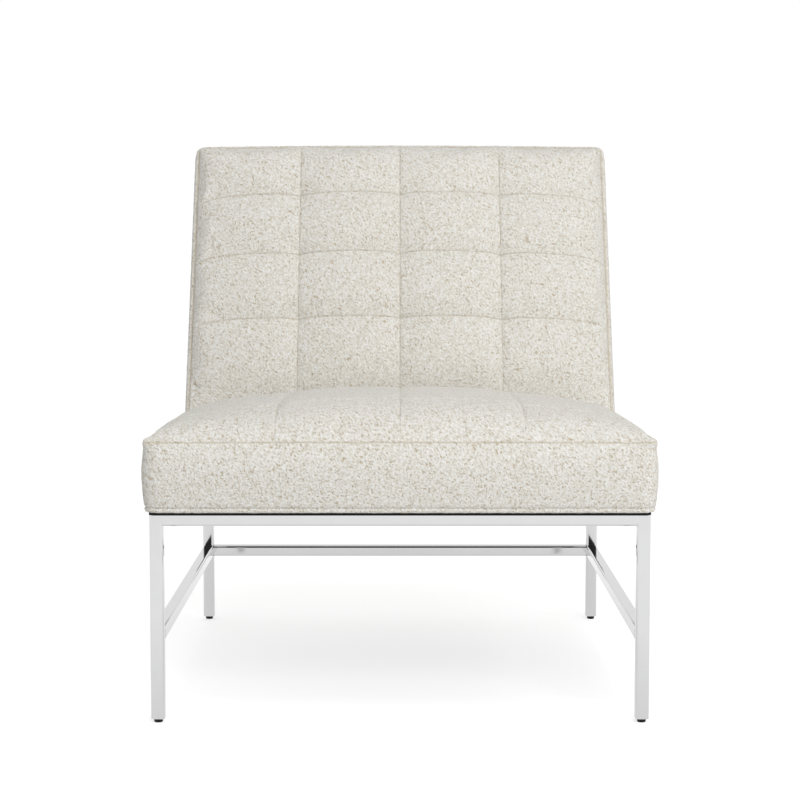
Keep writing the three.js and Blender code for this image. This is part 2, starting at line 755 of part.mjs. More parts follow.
// Posts and cross rails of the back, in the back's own frame, with webbing on the posts
function buildBackFrame() {
  const toBack = backMatrix.clone().invert();
  for (const [side, sign] of sides) {
    const holes = postBoltSpace(sign, boltClearance).map((hole) => hole.applyMatrix4(toBack));
    add(backUnit, `back_${side}_post`, cut(post(sign, 0), holes), materials.wood);
  }
  const railTops = [backRailFoot + slabPlace(backFoot, postRear) + backRailWidth, backLength - backRailFoot];
  ['bottom', 'top'].forEach((name, i) => {
    const low = [-betweenPosts, railTops[i] - backRailWidth, -postRear];
    add(backUnit, `back_${name}_wood_rail`, block(low, [betweenPosts, railTops[i], -postFront]), materials.wood);
  });
  const middle = (railTops[0] + railTops[1] - backRailWidth) / 2;
  const webbingSpace = railTops[1] - backRailWidth - railTops[0];
  strapPlaces(webbingSpace, backWebbingWidth, backWebbingLeastGap).forEach((offset, i) => {
    const [low, high] = [middle + offset - backWebbingWidth / 2, middle + offset + backWebbingWidth / 2];
    const face = -postFront + clearance;
    const strap = block([-postOuter, low, face], [postOuter, high, face + webbingThickness]);
    add(backUnit, `back_webbing_${i + 1}`, strap, materials.webbing);
  });
}

function buildBolts() {
  for (const [side, sign] of sides) {
    baseBoltPlaces.forEach(([end, y]) => {
      const length = seatBottom + flangeThickness + clearance + baseBoltBite - (baseTop - tubeSize);
      const fastener = bolt(baseBoltRadius, baseBoltHeadRadius, baseBoltHeadHeight, length, 0, 0, 0);
      const place = [sign * baseBoltX, y, baseTop - tubeSize];
      add(chair, `base_bolt_${end}_${side}`, fastener, materials.zinc, place);
    });
    postBoltPlaces.forEach(([y, z], i) => {
      const grip = railThickness + clearance + postWidth;
      const length = grip + clearance + postBoltNutHeight + postBoltRadius;
      const fastener = bolt(postBoltRadius, postBoltHeadRadius, postBoltHeadHeight, length,
        grip + clearance, postBoltNutRadius, postBoltNutHeight);
      const level = ['low', 'high'][i];
      add(chair, `post_bolt_${level}_${side}`, fastener, materials.zinc,
        [sign * railHalf, y, z], [0, -sign * Math.PI / 2, 0]);
    });
  }
}

function buildUpholstery() {
  const slots = [1, -1].map((side) => post(side, clearance).applyMatrix4(backMatrix));
  const raise = (geometry) => geometry.translate(0, 0, seatSeam);
  const bothSides = (makeHoles) => [...makeHoles(1), ...makeHoles(-1)];
  const boltHoles = bothSides((side) => baseBoltHoles(side, baseTop - overrun, railBottom + overrun));
  const headRoom = bothSides((side) => postBoltSpace(side, clearance));
  const cover = cut(raise(seatCover()), [...slots, ...boltHoles]);
  add(chair, 'seat_cover', cover, materials.boucle);
  add(chair, 'seat_foam', cut(raise(seatFoam()), [...slots, ...headRoom]), materials.foam);
  add(chair, 'seat_welt', seatWelt(), materials.boucle, [0, 0, seatBottom + weltRadius]);
  const lining = block(
    [dustCoverInset - halfBase, dustCoverInset, baseTop],
    [halfBase - dustCoverInset, seatEnd - dustCoverInset, seatBottom],
  );
  add(chair, 'dust_cover', cut(lining, boltHoles), materials.lining);
  add(backUnit, 'back_cover', backCover(), materials.boucle);
  add(backUnit, 'back_foam', backFoam(), materials.foam);
  add(backUnit, 'back_rear_panel', backPanel(), materials.boucle);
}

buildBase();
buildSeatFrame();
buildBackFrame();
buildBolts();
buildUpholstery();

// The origin is the middle of the chair's box, on the floor
chair.updateMatrixWorld(true);
const middle = new THREE.Box3().setFromObject(chair, true).getCenter(new THREE.Vector3());
chair.position.y = -middle.y;

export default chair;
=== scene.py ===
import math
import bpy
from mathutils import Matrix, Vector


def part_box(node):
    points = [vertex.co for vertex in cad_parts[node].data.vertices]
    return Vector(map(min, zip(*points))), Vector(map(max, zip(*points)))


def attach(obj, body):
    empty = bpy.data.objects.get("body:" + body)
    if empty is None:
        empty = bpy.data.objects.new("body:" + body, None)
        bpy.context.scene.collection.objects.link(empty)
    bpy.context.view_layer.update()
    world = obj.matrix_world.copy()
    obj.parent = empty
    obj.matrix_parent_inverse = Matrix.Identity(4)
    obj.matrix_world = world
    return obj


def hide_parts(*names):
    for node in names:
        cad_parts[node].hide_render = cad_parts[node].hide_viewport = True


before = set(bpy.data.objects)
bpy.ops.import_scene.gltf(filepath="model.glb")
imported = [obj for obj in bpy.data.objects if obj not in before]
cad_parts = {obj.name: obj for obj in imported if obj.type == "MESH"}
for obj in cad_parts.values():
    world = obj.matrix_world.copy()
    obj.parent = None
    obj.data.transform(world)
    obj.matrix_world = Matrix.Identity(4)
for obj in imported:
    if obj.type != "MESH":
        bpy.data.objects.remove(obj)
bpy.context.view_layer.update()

from array import array

import bmesh
import bpy
from mathutils import Matrix, Vector, noise

# Camera
# Eye level is about two thirds of the way up the back, square on to the chair, as in a shop picture. A 90 mm
# lens keeps the sides nearly upright, and the camera looks down by less than five degrees.
leg_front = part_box("front_left_leg")[0][1]
camera_distance = 2.7233
camera_height = 0.678
camera_pitch = math.radians(4.80)
lens = bpy.data.cameras.new("camera")
lens.lens = 90
lens.sensor_width = 36
camera = bpy.data.objects.new("camera", lens)
camera.location = (0, leg_front - camera_distance, camera_height)
camera.rotation_euler = (math.pi / 2 - camera_pitch, 0, 0)
bpy.context.scene.collection.objects.link(camera)
bpy.context.scene.camera = camera


# Polished steel base
# Square tube, mitred at the corners, welded and polished to a mirror, then wiped by hand: the surface waves
# very slightly and keeps faint marks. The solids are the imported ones, and only get their finish here.
class Shade:
    """A socket of a material, on which Python's operators add Math nodes."""

    def __init__(self, socket):
        self.socket = socket

    def make(self, kind, settings=None, inputs=None, output=0):
        """Adds a node, with its settings set first and then its sockets, and returns one of its outputs."""
        tree = self.socket.id_data
        node = tree.nodes.new(kind)
        for key, value in (settings or {}).items():
            setattr(node, key, value)
        for key, value in (inputs or {}).items():
            if isinstance(value, Shade):
                tree.links.new(value.socket, node.inputs[key])
            else:
                node.inputs[key].default_value = value
        return Shade(node.outputs[output])

    def math(self, operation, first, second=0.0):
        return self.make("ShaderNodeMath", {"operation": operation}, {0: first, 1: second})

    def __add__(self, other):
        return self.math("ADD", self, other)

    def __radd__(self, other):
        return self.math("ADD", other, self)

    def __sub__(self, other):
        return self.math("SUBTRACT", self, other)

    def __rsub__(self, other):
        return self.math("SUBTRACT", other, self)

    def __mul__(self, other):
        return self.math("MULTIPLY", self, other)

    def __rmul__(self, other):
        return self.math("MULTIPLY", other, self)

    def ramp(self, low, high):
        """0 below low and 1 above high, with a soft step between them."""
        settings = {"interpolation_type": "SMOOTHSTEP"}
        return self.make("ShaderNodeMapRange", settings, {"Value": self, "From Min": low, "From Max": high})

    def noise(self, scale, detail, roughness=0.5):
        inputs = {"Vector": self, "Scale": scale, "Detail": detail, "Roughness": roughness}
        return self.make("ShaderNodeTexNoise", None, inputs)

    def mix(self, first, second):
        """From the first colour to the second, as this value goes from 0 to 1."""
        inputs = {0: self, 6: first, 7: second}
        return self.make("ShaderNodeMix", {"data_type": "RGBA"}, inputs, 2)

    def vector_math(self, operation, inputs, output=0):
        return self.make("ShaderNodeVectorMath", {"operation": operation}, inputs, output)

    def stretched(self, direction, times):
        """These coordinates with everything drawn out along a direction."""
        along = self.vector_math("DOT_PRODUCT", {0: self, 1: direction}, "Value")
        extra = self.vector_math("SCALE", {0: direction, "Scale": along * (1 - 1 / times)})
        return self.vector_math("SUBTRACT", {0: self, 1: extra})

    def axis(self, number):
        """One of the three coordinates: 0, 1 or 2."""
        return self.make("ShaderNodeSeparateXYZ", None, {0: self}, number)


def new_material(name):
    """A material, its shader and its object coordinates."""
    material = bpy.data.materials.new(name)
    material.use_nodes = True
    shader = material.node_tree.nodes["Principled BSDF"]
    coordinates = material.node_tree.nodes.new("ShaderNodeTexCoord")
    return material, shader, Shade(coordinates.outputs["Object"])


def fill_shader(shader, values):
    """Sets the shader's sockets to numbers, colours or links."""
    for key, value in values.items():
        if isinstance(value, Shade):
            shader.id_data.links.new(value.socket, shader.inputs[key])
        else:
            shader.inputs[key].default_value = value


def bumped(height, distance):
    return height.make("ShaderNodeBump", None, {"Height": height, "Distance": distance, "Strength": 1.0})


def polished_steel():
    material, shader, place = new_material("mirror_polished_steel")
    smears = place.noise(35.0, 4.0, 0.6)
    waves = place.noise(9.0, 1.0)
    fill_shader(shader, {
        "Base Color": smears.mix((0.70, 0.70, 0.703, 1), (0.66, 0.66, 0.663, 1)),
        "Metallic": 1.0,
        "Roughness": 0.045 + 0.05 * smears,
        "Normal": bumped(waves, 0.0006),
    })
    return material


def dress(nodes, material):
    for node in nodes:
        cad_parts[node].data.materials.clear()
        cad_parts[node].data.materials.append(material)


ends = ("front", "rear")
sides = ("left", "right")
tubes = [f"{end}_{side}_leg" for end in ends for side in sides]
tubes += [f"{place}_top_rail" for place in (*ends, *sides)]
tubes += [f"{place}_stretcher" for place in (*sides, "rear")]
dress(tubes, polished_steel())


# Glides
# Turned black nylon feet, pressed into the open ends of the legs. They are satin with a fine moulded grain
# and faint paler scuffs.
def glide_plastic():
    material, shader, place = new_material("black_nylon")
    grain = place.noise(1800.0, 3.0, 0.6)
    scuffs = place.noise(260.0, 4.0, 0.7).ramp(0.56, 0.74)
    fill_shader(shader, {
        "Base Color": scuffs.mix((0.004, 0.004, 0.004, 1), (0.012, 0.012, 0.012, 1)),
        "Roughness": 0.5 + 0.2 * scuffs,
        "Specular IOR Level": 0.3,
        "Normal": bumped(grain, 0.00008),
    })
    return material


dress([f"{end}_{side}_glide" for end in ends for side in sides], glide_plastic())


# Dust cover
# Black spun-bonded lining, stapled under the seat. Its edge shows as a thin dark line above the steel, and
# its lip turned down over the tubes' rounded top edge is painted shade: a black sheet in place of the shadow
# under the seat and its dark reflection in the steel. From below it is a matt sheet of short matted fibres
# with a dotted bond pattern.
def spun_lining():
    material, shader, place = new_material("black_spun_lining")
    fibres = place.stretched((0.8, 0.6, 0.0), 4.0).noise(900.0, 4.0, 0.7)
    pattern = {"Vector": place, "Scale": 420.0, "Randomness": 0.1}
    dots = place.make("ShaderNodeTexVoronoi", {"feature": "F1"}, pattern)
    bonded = dots.ramp(0.28, 0.4)
    fill_shader(shader, {
        "Base Color": fibres.mix((0.008, 0.008, 0.009, 1), (0.030, 0.030, 0.032, 1)),
        "Roughness": 0.98 - 0.2 * (1 - bonded),
        "Normal": bumped(fibres + bonded, 0.00015),
        "Specular IOR Level": 0.1,
    })
    return material


lining_low, lining_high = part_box("dust_cover")


def lining_mesh():
    """A thin sheet with rounded corners. Its edge turns down over the tubes' rounded shoulder as painted
    shade.
    """
    shoulder = 0.004
    reach_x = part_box("front_top_rail")[1][0] - shoulder
    front = leg_front + shoulder
    rear = lining_high[1] - 0.0025
    base_top = lining_low[2]
    top = lining_high[2] - 0.00005
    inner = shoulder + 0.00006
    # Black lip over the tubes' rounded top edge: painted shade for the gap under the seat and its reflection.
    painted_shade_lip = 0.0034
    steepest = math.acos((shoulder - painted_shade_lip) / inner)
    steps = 6
    profile = [(0.0034, top), (0.0, top), (-0.0003, top - 0.0003), (-0.0004, base_top - painted_shade_lip)]
    for step in range(steps, -1, -1):
        turn = steepest * step / steps
        profile.append((shoulder - inner * math.sin(turn), base_top - shoulder + inner * math.cos(turn)))
    bm = bmesh.new()
    outward = bm.verts.layers.float_vector.new("outward")
    bmesh.ops.create_circle(bm, segments=32, radius=1.0, matrix=Matrix.Rotation(math.pi / 32, 4, "Z"))
    ring = list(bm.verts)
    for v in ring:
        v[outward] = v.co.copy()
    edges = list(bm.edges)
    for level, (inset, height) in enumerate(profile):
        if level:
            made = bmesh.ops.extrude_edge_only(bm, edges=edges)["geom"]
            ring = [g for g in made if isinstance(g, bmesh.types.BMVert)]
            edges = [g for g in made if isinstance(g, bmesh.types.BMEdge) and not g.link_faces[1:]]
        for v in ring:
            way = v[outward]
            corner = Vector((math.copysign(reach_x, way.x), rear if way.y > 0 else front, height))
            v.co = corner + (shoulder - inset) * way
    bmesh.ops.holes_fill(bm, edges=[e for e in bm.edges if e.is_boundary], sides=0)
    bmesh.ops.recalc_face_normals(bm, faces=bm.faces)
    return bm


def add_mesh(name, bm, material, smooth=False):
    """Adds an object with one material, made from a bmesh that isn't used again."""
    mesh = bpy.data.meshes.new(name)
    bm.to_mesh(mesh)
    bm.free()
    for polygon in mesh.polygons:
        polygon.use_smooth = smooth
    mesh.materials.append(material)
    piece = bpy.data.objects.new(name, mesh)
    bpy.context.scene.collection.objects.link(piece)
    return piece


under_lining = add_mesh("under_lining", lining_mesh(), spun_lining())
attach(under_lining, "root")
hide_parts("dust_cover")


# Hardwood frame
# Planed beech rails, posts and corner blocks, left bare because the covers hide them. The grain runs along
# each piece, so the rails and the posts have their own directions.
def beech(name, along):
    material, shader, place = new_material(name)
    drawn = place.stretched(along, 14.0)
    rings = drawn.noise(55.0, 3.0, 0.55)
    pores = drawn.noise(900.0, 2.0, 0.6).ramp(0.55, 0.68)
    tone = rings.ramp(0.3, 0.7)
    light = tone.mix((0.62, 0.44, 0.26, 1), (0.50, 0.33, 0.18, 1))
    fill_shader(shader, {
        "Base Color": (0.5 * pores).mix(light, (0.24, 0.14, 0.07, 1)),
        "Roughness": 0.55 + 0.2 * tone,
        "Normal": bumped(pores + tone, 0.0002),
    })
    return material


recline = math.radians(25.5)
beech_x = beech("beech_across", (1.0, 0.0, 0.0))
dress(["seat_front_wood_rail", "seat_rear_wood_rail", "back_bottom_wood_rail", "back_top_wood_rail"], beech_x)
dress([f"seat_{side}_corner_block" for side in sides], beech_x)
dress([f"seat_{side}_wood_rail" for side in sides], beech("beech_lengthwise", (0.0, 1.0, 0.0)))
dress([f"back_{side}_post" for side in sides],
      beech("beech_raked", (0.0, math.sin(recline), math.cos(recline))))


# Elastic webbing
# Straps of woven rubber thread and polypropylene. They run from front to rear in the seat and from side to
# side in the back, and each has fine ribs across its length.
def strap_weave(name, across):
    material, shader, place = new_material(name)
    ribs = place.make("ShaderNodeTexWave", {"wave_type": "BANDS", "bands_direction": across},
                      {"Vector": place, "Scale": 95.0, "Distortion": 0.6, "Detail": 2.0})
    threads = place.noise(700.0, 3.0, 0.6)
    fill_shader(shader, {
        "Base Color": (ribs * threads).mix((0.03, 0.027, 0.024, 1), (0.09, 0.08, 0.07, 1)),
        "Roughness": 0.85,
        "Normal": bumped(ribs + 0.4 * threads, 0.0004),
    })
    return material


straps = [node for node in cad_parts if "webbing" in node]
dress([node for node in straps if node.startswith("seat")], strap_weave("seat_strap_weave", "Y"))
dress([node for node in straps if node.startswith("back")], strap_weave("back_strap_weave", "X"))


# Bolts
# Zinc-plated steel: two through each post, and four up through the side rails of the base, with round heads
# under the tube.
def zinc_plate():
    material, shader, place = new_material("zinc_plate")
    spangle = place.noise(420.0, 3.0, 0.6)
    fill_shader(shader, {
        "Base Color": spangle.mix((0.50, 0.51, 0.53, 1), (0.62, 0.63, 0.64, 1)),
        "Metallic": 1.0,
        "Roughness": 0.22 + 0.2 * spangle,
        "Normal": bumped(spangle, 0.00006),
    })
    return material


dress([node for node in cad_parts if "bolt" in node], zinc_plate())


# Seat cushion
# Foam on webbing under a cream boucle cover. The top panel is crowned, sewn across in a grid of shallow
# seams and stitched to a bulging boxing, whose front corners are pulled out into small ears by the seam.
half_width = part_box("front_top_rail")[1][0]
seat_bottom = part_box("dust_cover")[1][2]
slab = 0.096
seat_seam = seat_bottom + slab
seat_depth = 0.515
seat_length = seat_depth + slab / math.cos(recline)
tuck_end = seat_depth - 0.009
boxing_corner = 0.015
welt_height = 0.0061
fine_step = 0.0056
seam_steps = (0.0012, 0.003, 0.0056)


def clamp(value):
    return max(0.0, min(1.0, value))


def climb(distance, rise):
    """Rounded climb from 0 at an edge to 1 at the given distance."""
    rest = 1 - clamp(distance / rise)
    return math.sqrt(1 - rest * rest)


def swell(distance, rise):
    """Slope that starts at once and levels out at the given distance."""
    rest = 1 - clamp(distance / rise)
    return 1 - rest * rest


def pillow(place, stops):
    """0 on a seam and 1 in the middle of the cell between two seams."""
    for low, high in zip(stops, stops[1:]):
        if place <= high:
            share = clamp((place - low) / (high - low))
            return 4 * share * (1 - share)
    return 0.0


def sewing_lines(stops):
    """Grid lines between stops, close together beside each stop."""
    lines = [stops[0]]
    for low, high in zip(stops, stops[1:]):
        near = [low + step for step in seam_steps]
        far = [high - step for step in reversed(seam_steps)]
        count = max(round((far[0] - near[-1]) / fine_step), 1)
        between = [near[-1] + (far[0] - near[-1]) * i / count for i in range(1, count)]
        lines += [*near, *between, *far, high]
    return lines


class Cushion:
    """A sewn cushion's mesh. It is laid out on a plan, and every point keeps its place on that plan."""

    def __init__(self, half, length, x_seams, y_seams, height, corner, ear=0.0, bow=0.0, droop=0.0,
                 sink=lambda y: 0.0):
        self.half = half
        self.length = length
        self.x_stops = [-half, *x_seams, half]
        self.y_stops = [0.0, *y_seams, length]
        self.height = height
        self.corner = corner
        self.ear = ear
        self.bow = bow
        self.droop = droop
        self.sink = sink

    def plan(self, x, y, bulge, radius):
        """A point with the plan's corners rounded and its outline grown, and how far the ear pulls it."""
        from_side = self.half - abs(x)
        from_end = min(y, self.length - y)
        inset = min(from_side, from_end)
        along = max(from_side, from_end) - inset
        reach = max(radius - inset, 0.0)
        turned = along / reach if along < reach else math.copysign(1.0, along) if along else 0.0
        turn = (1 + turned) * math.pi / 4
        side = inset + (reach + bulge) * (1 - math.sin(turn)) - bulge
        end = inset + ((reach + bulge) * (1 - math.cos(turn)) - bulge if turned < 1 else along)
        if from_side > from_end:
            side, end = end, side
        at_start = y < self.length / 2
        ear = self.ear * math.exp(-math.hypot(side, end) / 0.045) if at_start else 0.0
        sign = math.copysign(1.0, x) if abs(x) > 1e-6 else 0.0
        return sign * (self.half - side), end if at_start else self.length - end, ear

    def place(self, x, y, z, bulge=0.0, radius=None, ear_share=1.0):
        plan_x, plan_y, ear = self.plan(x, y, bulge, self.corner if radius is None else radius)
        ear *= ear_share
        sign = math.copysign(1.0, plan_x) if abs(plan_x) > 1e-6 else 0.0
        near_end = clamp((y - self.length + 0.06) / 0.06)
        bow = self.bow * near_end ** 2 * (1 - (x / self.half) ** 2)
        # Rows of seams slide down towards the sides
        inside = clamp((min(y, self.length - y) - 0.03) / 0.05)
        slid = self.droop * (0.55 + 0.45 * y / self.length) * math.exp((abs(x) - self.half) / 0.024)
        slid *= inside * inside * (3 - 2 * inside)
        return Vector((plan_x + sign * ear, plan_y + bow - ear - slid, z))

    def build(self, rings):
        """Crowned top over a grid, then a ring of boxing for each given level. The underside is open."""
        xs = sewing_lines(self.x_stops)
        ys = sewing_lines(self.y_stops)
        bm = bmesh.new()
        bmesh.ops.create_grid(bm, x_segments=len(xs) - 1, y_segments=len(ys) - 1, size=0.5)
        plan_x = bm.verts.layers.float.new("plan_x")
        plan_y = bm.verts.layers.float.new("plan_y")
        drop = bm.verts.layers.float.new("drop")
        for v in bm.verts:
            v[plan_x] = xs[round((v.co.x + 0.5) * (len(xs) - 1))]
            v[plan_y] = ys[round((v.co.y + 0.5) * (len(ys) - 1))]
            v.co = self.place(v[plan_x], v[plan_y], self.height(v[plan_x], v[plan_y]))
        edges = [e for e in bm.edges if e.is_boundary]
        for depth, bulge, radius, ear_share in rings:
            made = bmesh.ops.extrude_edge_only(bm, edges=edges)["geom"]
            for v in (g for g in made if isinstance(g, bmesh.types.BMVert)):
                v[drop] = depth
                sunk = self.sink(v[plan_y]) * max(1 - depth / 0.06, 0)
                v.co = self.place(v[plan_x], v[plan_y], -depth - sunk, bulge, radius, ear_share)
            edges = [g for g in made if isinstance(g, bmesh.types.BMEdge) and g.is_boundary]
        bmesh.ops.recalc_face_normals(bm, faces=bm.faces)
        return bm


def boxing_rings(height, ridge, most, corner, lower_corner, ear):
    """Levels of a bulging side from the edge seam down: depth, bulge, corner radius and share of the ear.
    Beside the seam, the allowance inside pushes the cloth out into a narrow ridge."""
    depths = [*seam_steps]
    even = height - 2 * seam_steps[-1]
    count = round(even / fine_step)
    depths += [seam_steps[-1] + even * i / count for i in range(1, count + 1)]
    depths.append(height)
    rings = []
    for depth in depths:
        share = depth / height
        bulge = (most - ridge) * (1 - (1 - clamp(share / 0.5)) ** 2.2) + ridge * climb(depth, 0.005)
        bulge -= 0.30 * most * clamp((share - 0.5) / 0.5) ** 2
        radius = corner + (lower_corner - corner) * climb(share, 0.4)
        rings.append((depth, bulge, radius, math.exp(-share / 0.11) if ear else 0.0))
    return rings


seat_columns = (-0.1725, 0.0, 0.1725)
seat_rows = (0.102, 0.208, 0.314)


def seat_sink(y):
    """How far the seat's rear is pressed down by the back that stands on it."""
    return 0.0115 * clamp((y - tuck_end + 0.100) / 0.105) ** 1.5


def seat_height(x, y):
    """Crown of the seat over its edge seam, with its pillows. It ends in front of the back."""
    if y >= tuck_end:
        return -seat_sink(y)
    across = 1 - abs(x / half_width) ** 2.2
    crown = 0.0365 * across * swell(y, 0.120) * climb(tuck_end - y, 0.026)
    from_side = half_width - abs(x)
    from_end = min(y, tuck_end - y)
    edge = min(from_side, from_end)
    full = 1 - 0.35 * math.exp(-(math.hypot(from_side, y) / 0.018) ** 2)
    roll = 0.013 * min(swell(from_side, 0.022), swell(from_end, 0.030)) * full
    roll *= clamp((seat_depth - y) / 0.400) ** 0.9
    roll += 0.0045 * math.exp(-(math.hypot(from_side, y) / 0.020) ** 2) * climb(min(from_side, y), 0.004)
    stops_x = [-half_width, *seat_columns, half_width]
    stops_y = [0.0, *seat_rows, tuck_end]
    puffed = 0.0022 * (pillow(x, stops_x) * pillow(y, stops_y)) ** 0.7
    return crown + roll + puffed * clamp(edge / 0.02) - seat_sink(y)


def close_flat(bm, foot=None):
    """Closes the open side of a mesh, after cutting the mesh off level where a foot height is given."""
    bmesh.ops.contextual_create(bm, geom=[e for e in bm.edges if e.is_boundary])
    if foot is not None:
        everything = [*bm.verts, *bm.edges, *bm.faces]
        bmesh.ops.bisect_plane(bm, geom=everything, plane_co=(0, 0, foot), plane_no=(0, 0, -1),
                               clear_outer=True)
        bmesh.ops.contextual_create(bm, geom=[e for e in bm.edges if e.is_boundary])
    bmesh.ops.recalc_face_normals(bm, faces=bm.faces)


seat_corner = 0.006
seat = Cushion(half_width, seat_length, seat_columns, (*seat_rows, tuck_end), seat_height, seat_corner,
               ear=0.009, sink=seat_sink)
seat_boxing = slab - welt_height
seat_foot = slab - 0.0002
inner_edge = -0.0004
seat_rings = boxing_rings(seat_boxing, ridge=0.0012, most=0.0115, corner=seat_corner,
                          lower_corner=boxing_corner, ear=True)
seat_rings += [
    (seat_boxing + 0.0014, 0.0032, boxing_corner, 0.0),
    (seat_boxing + 0.0018, inner_edge, boxing_corner, 0.0),
    (seat_foot, inner_edge, boxing_corner, 0.0),
    (seat_foot, -0.02, boxing_corner, 0.0),
    (seat_foot, -0.06, boxing_corner, 0.0),
]
seat_mesh = seat.build(seat_rings)
seat_matrix = Matrix.Translation((0, leg_front, seat_seam))


def boucle(name):
    """Looped cream yarn with tan specks. The loops lean one way, so the pattern is drawn out on the slant."""
    material, shader, place = new_material(name)
    slant = place.stretched((0.577, -0.577, -0.577), 2.2)
    loops = slant.noise(460.0, 2.0, 0.6)
    fibres = place.noise(1000.0, 2.0, 0.6)
    # Low loops get the darker, warmer cream: partly the yarn's own tone, partly painted shade in the hollows.
    cream = (0.6 * loops + 0.4 * fibres).ramp(0.36, 0.62).mix((0.60, 0.56, 0.47, 1), (0.83, 0.825, 0.80, 1))
    specks = slant.noise(420.0, 2.0, 0.5).ramp(0.59, 0.68)
    tan = (0.7 * specks).mix(cream, (0.46, 0.33, 0.15, 1))
    # Seam lines are mixed towards tan: the stitching's colour, and painted shade of the seam's groove.
    seam = place.make("ShaderNodeAttribute", {"attribute_name": "seam"}, None, "Fac")
    fill_shader(shader, {
        "Base Color": (0.6 * seam).mix(tan, (0.45, 0.37, 0.24, 1)),
        "Roughness": 0.95,
        "Specular IOR Level": 0.2,
        "Sheen Weight": 0.3,
        "Sheen Roughness": 0.6,
        "Normal": bumped(0.8 * loops + 0.3 * fibres - 0.5 * specks, 0.0011),
    })
    return material


boucle_cloth = boucle("cream_boucle")


def seam_depth(x, y, drop, cushion, column_share, row_share):
    """How deep a point lies in the nearest seam, from 0 to 1."""
    def near(distance):
        return math.exp(-(distance / 0.0008) ** 2)
    edge = near(drop) if drop > 0 else near(min(cushion.half - abs(x), y, cushion.length - y))
    if drop > 0:
        return edge
    columns = max(near(abs(x - stop)) for stop in cushion.x_stops[1:-1])
    rows = max(near(abs(y - stop)) for stop in cushion.y_stops[1:-1])
    return max(edge, column_share * columns, row_share * rows)


def fill_out(piece, held, most):
    """Cloth simulation: padding presses the cover out between its seams, up to a distance."""
    last_frame = 20
    mesh = piece.data
    pins = piece.vertex_groups.new(name="sewn")
    for v in mesh.vertices:
        place = [mesh.attributes[layer].data[v.index].value for layer in ("plan_x", "plan_y", "drop")]
        pins.add([v.index], held(*place), "REPLACE")
    press = piece.modifiers.new("press", "CLOTH")
    press.settings.vertex_group_mass = "sewn"
    press.settings.use_pressure = True
    press.settings.uniform_pressure_force = 4.0
    press.settings.effector_weights.gravity = 0.0
    press.settings.shrink_min = -0.012
    press.point_cache.frame_start = 1
    press.point_cache.frame_end = last_frame
    for step in range(1, last_frame + 1):
        bpy.context.scene.frame_set(step)
    pressed = piece.evaluated_get(bpy.context.evaluated_depsgraph_get()).data
    moves = [after.co - before.co for before, after in zip(mesh.vertices, pressed.vertices)]
    piece.modifiers.clear()
    piece.vertex_groups.clear()
    for v, move in zip(mesh.vertices, moves):
        v.co += move * min(1.0, most / max(move.length, 1e-9))
    bpy.context.scene.frame_set(1)


def finish_cushion(bm, name, matrix, cushion, column_share, row_share, groove, held, foot=None):
    """Presses out a cushion's mesh, smooths it, sinks its seams, adds lumps and puts it in its place."""
    mesh = bpy.data.meshes.new(name)
    bm.to_mesh(mesh)
    bm.free()
    piece = bpy.data.objects.new(name, mesh)
    bpy.context.scene.collection.objects.link(piece)
    fill_out(piece, held, most=0.0035)
    smooth = piece.modifiers.new("smooth", "SUBSURF")
    smooth.levels = 1
    smooth.render_levels = 1
    graph = bpy.context.evaluated_depsgraph_get()
    fine = bpy.data.meshes.new_from_object(piece.evaluated_get(graph))
    piece.modifiers.clear()
    piece.data = fine
    fine.name = name
    count = len(fine.vertices)
    plans = {}
    for layer in ("plan_x", "plan_y", "drop"):
        plans[layer] = array("f", [0.0]) * count
        fine.attributes[layer].data.foreach_get("value", plans[layer])
    normals = [v.normal.copy() for v in fine.vertices]
    depths = array("f", [0.0]) * count
    for i, v in enumerate(fine.vertices):
        place = (plans["plan_x"][i], plans["plan_y"][i], plans["drop"][i])
        depth = seam_depth(*place, cushion, column_share, row_share)
        depths[i] = depth
        lumps = 0.0004 * noise.noise(v.co * 170) + 0.0003 * noise.noise(v.co * 60)
        v.co += normals[i] * (lumps * (1 - depth) - groove * depth)
    # The seam depth is kept for the cloth, which darkens the seam lines with painted shade of the groove.
    fine.attributes.new("seam", "FLOAT", "POINT").data.foreach_set("value", depths)
    fine.transform(matrix)
    bm = bmesh.new()
    bm.from_mesh(fine)
    close_flat(bm, foot)
    bm.to_mesh(fine)
    bm.free()
    for polygon in fine.polygons:
        polygon.use_smooth = True
    fine.materials.append(boucle_cloth)
    return piece


def seat_held(x, y, drop):
    """Where the seat's cover can't move: at its sewn edges, under the back and at its foot."""
    if y > tuck_end - 0.002 or drop > 0.001 or min(half_width - abs(x), y) < 0.001:
        return 1.0
    on_column = min(abs(x - seam) for seam in seat_columns) < 0.001
    on_row = min(abs(y - seam) for seam in seat_rows) < 0.001
    return 0.3 if on_column else 0.2 if on_row else 0.0


seat_cushion = finish_cushion(seat_mesh, "seat_cushion", seat_matrix, seat, column_share=0.4,
                              row_share=0.15, groove=0.0009, held=seat_held)
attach(seat_cushion, "root")
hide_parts("seat_cover", "seat_foam")


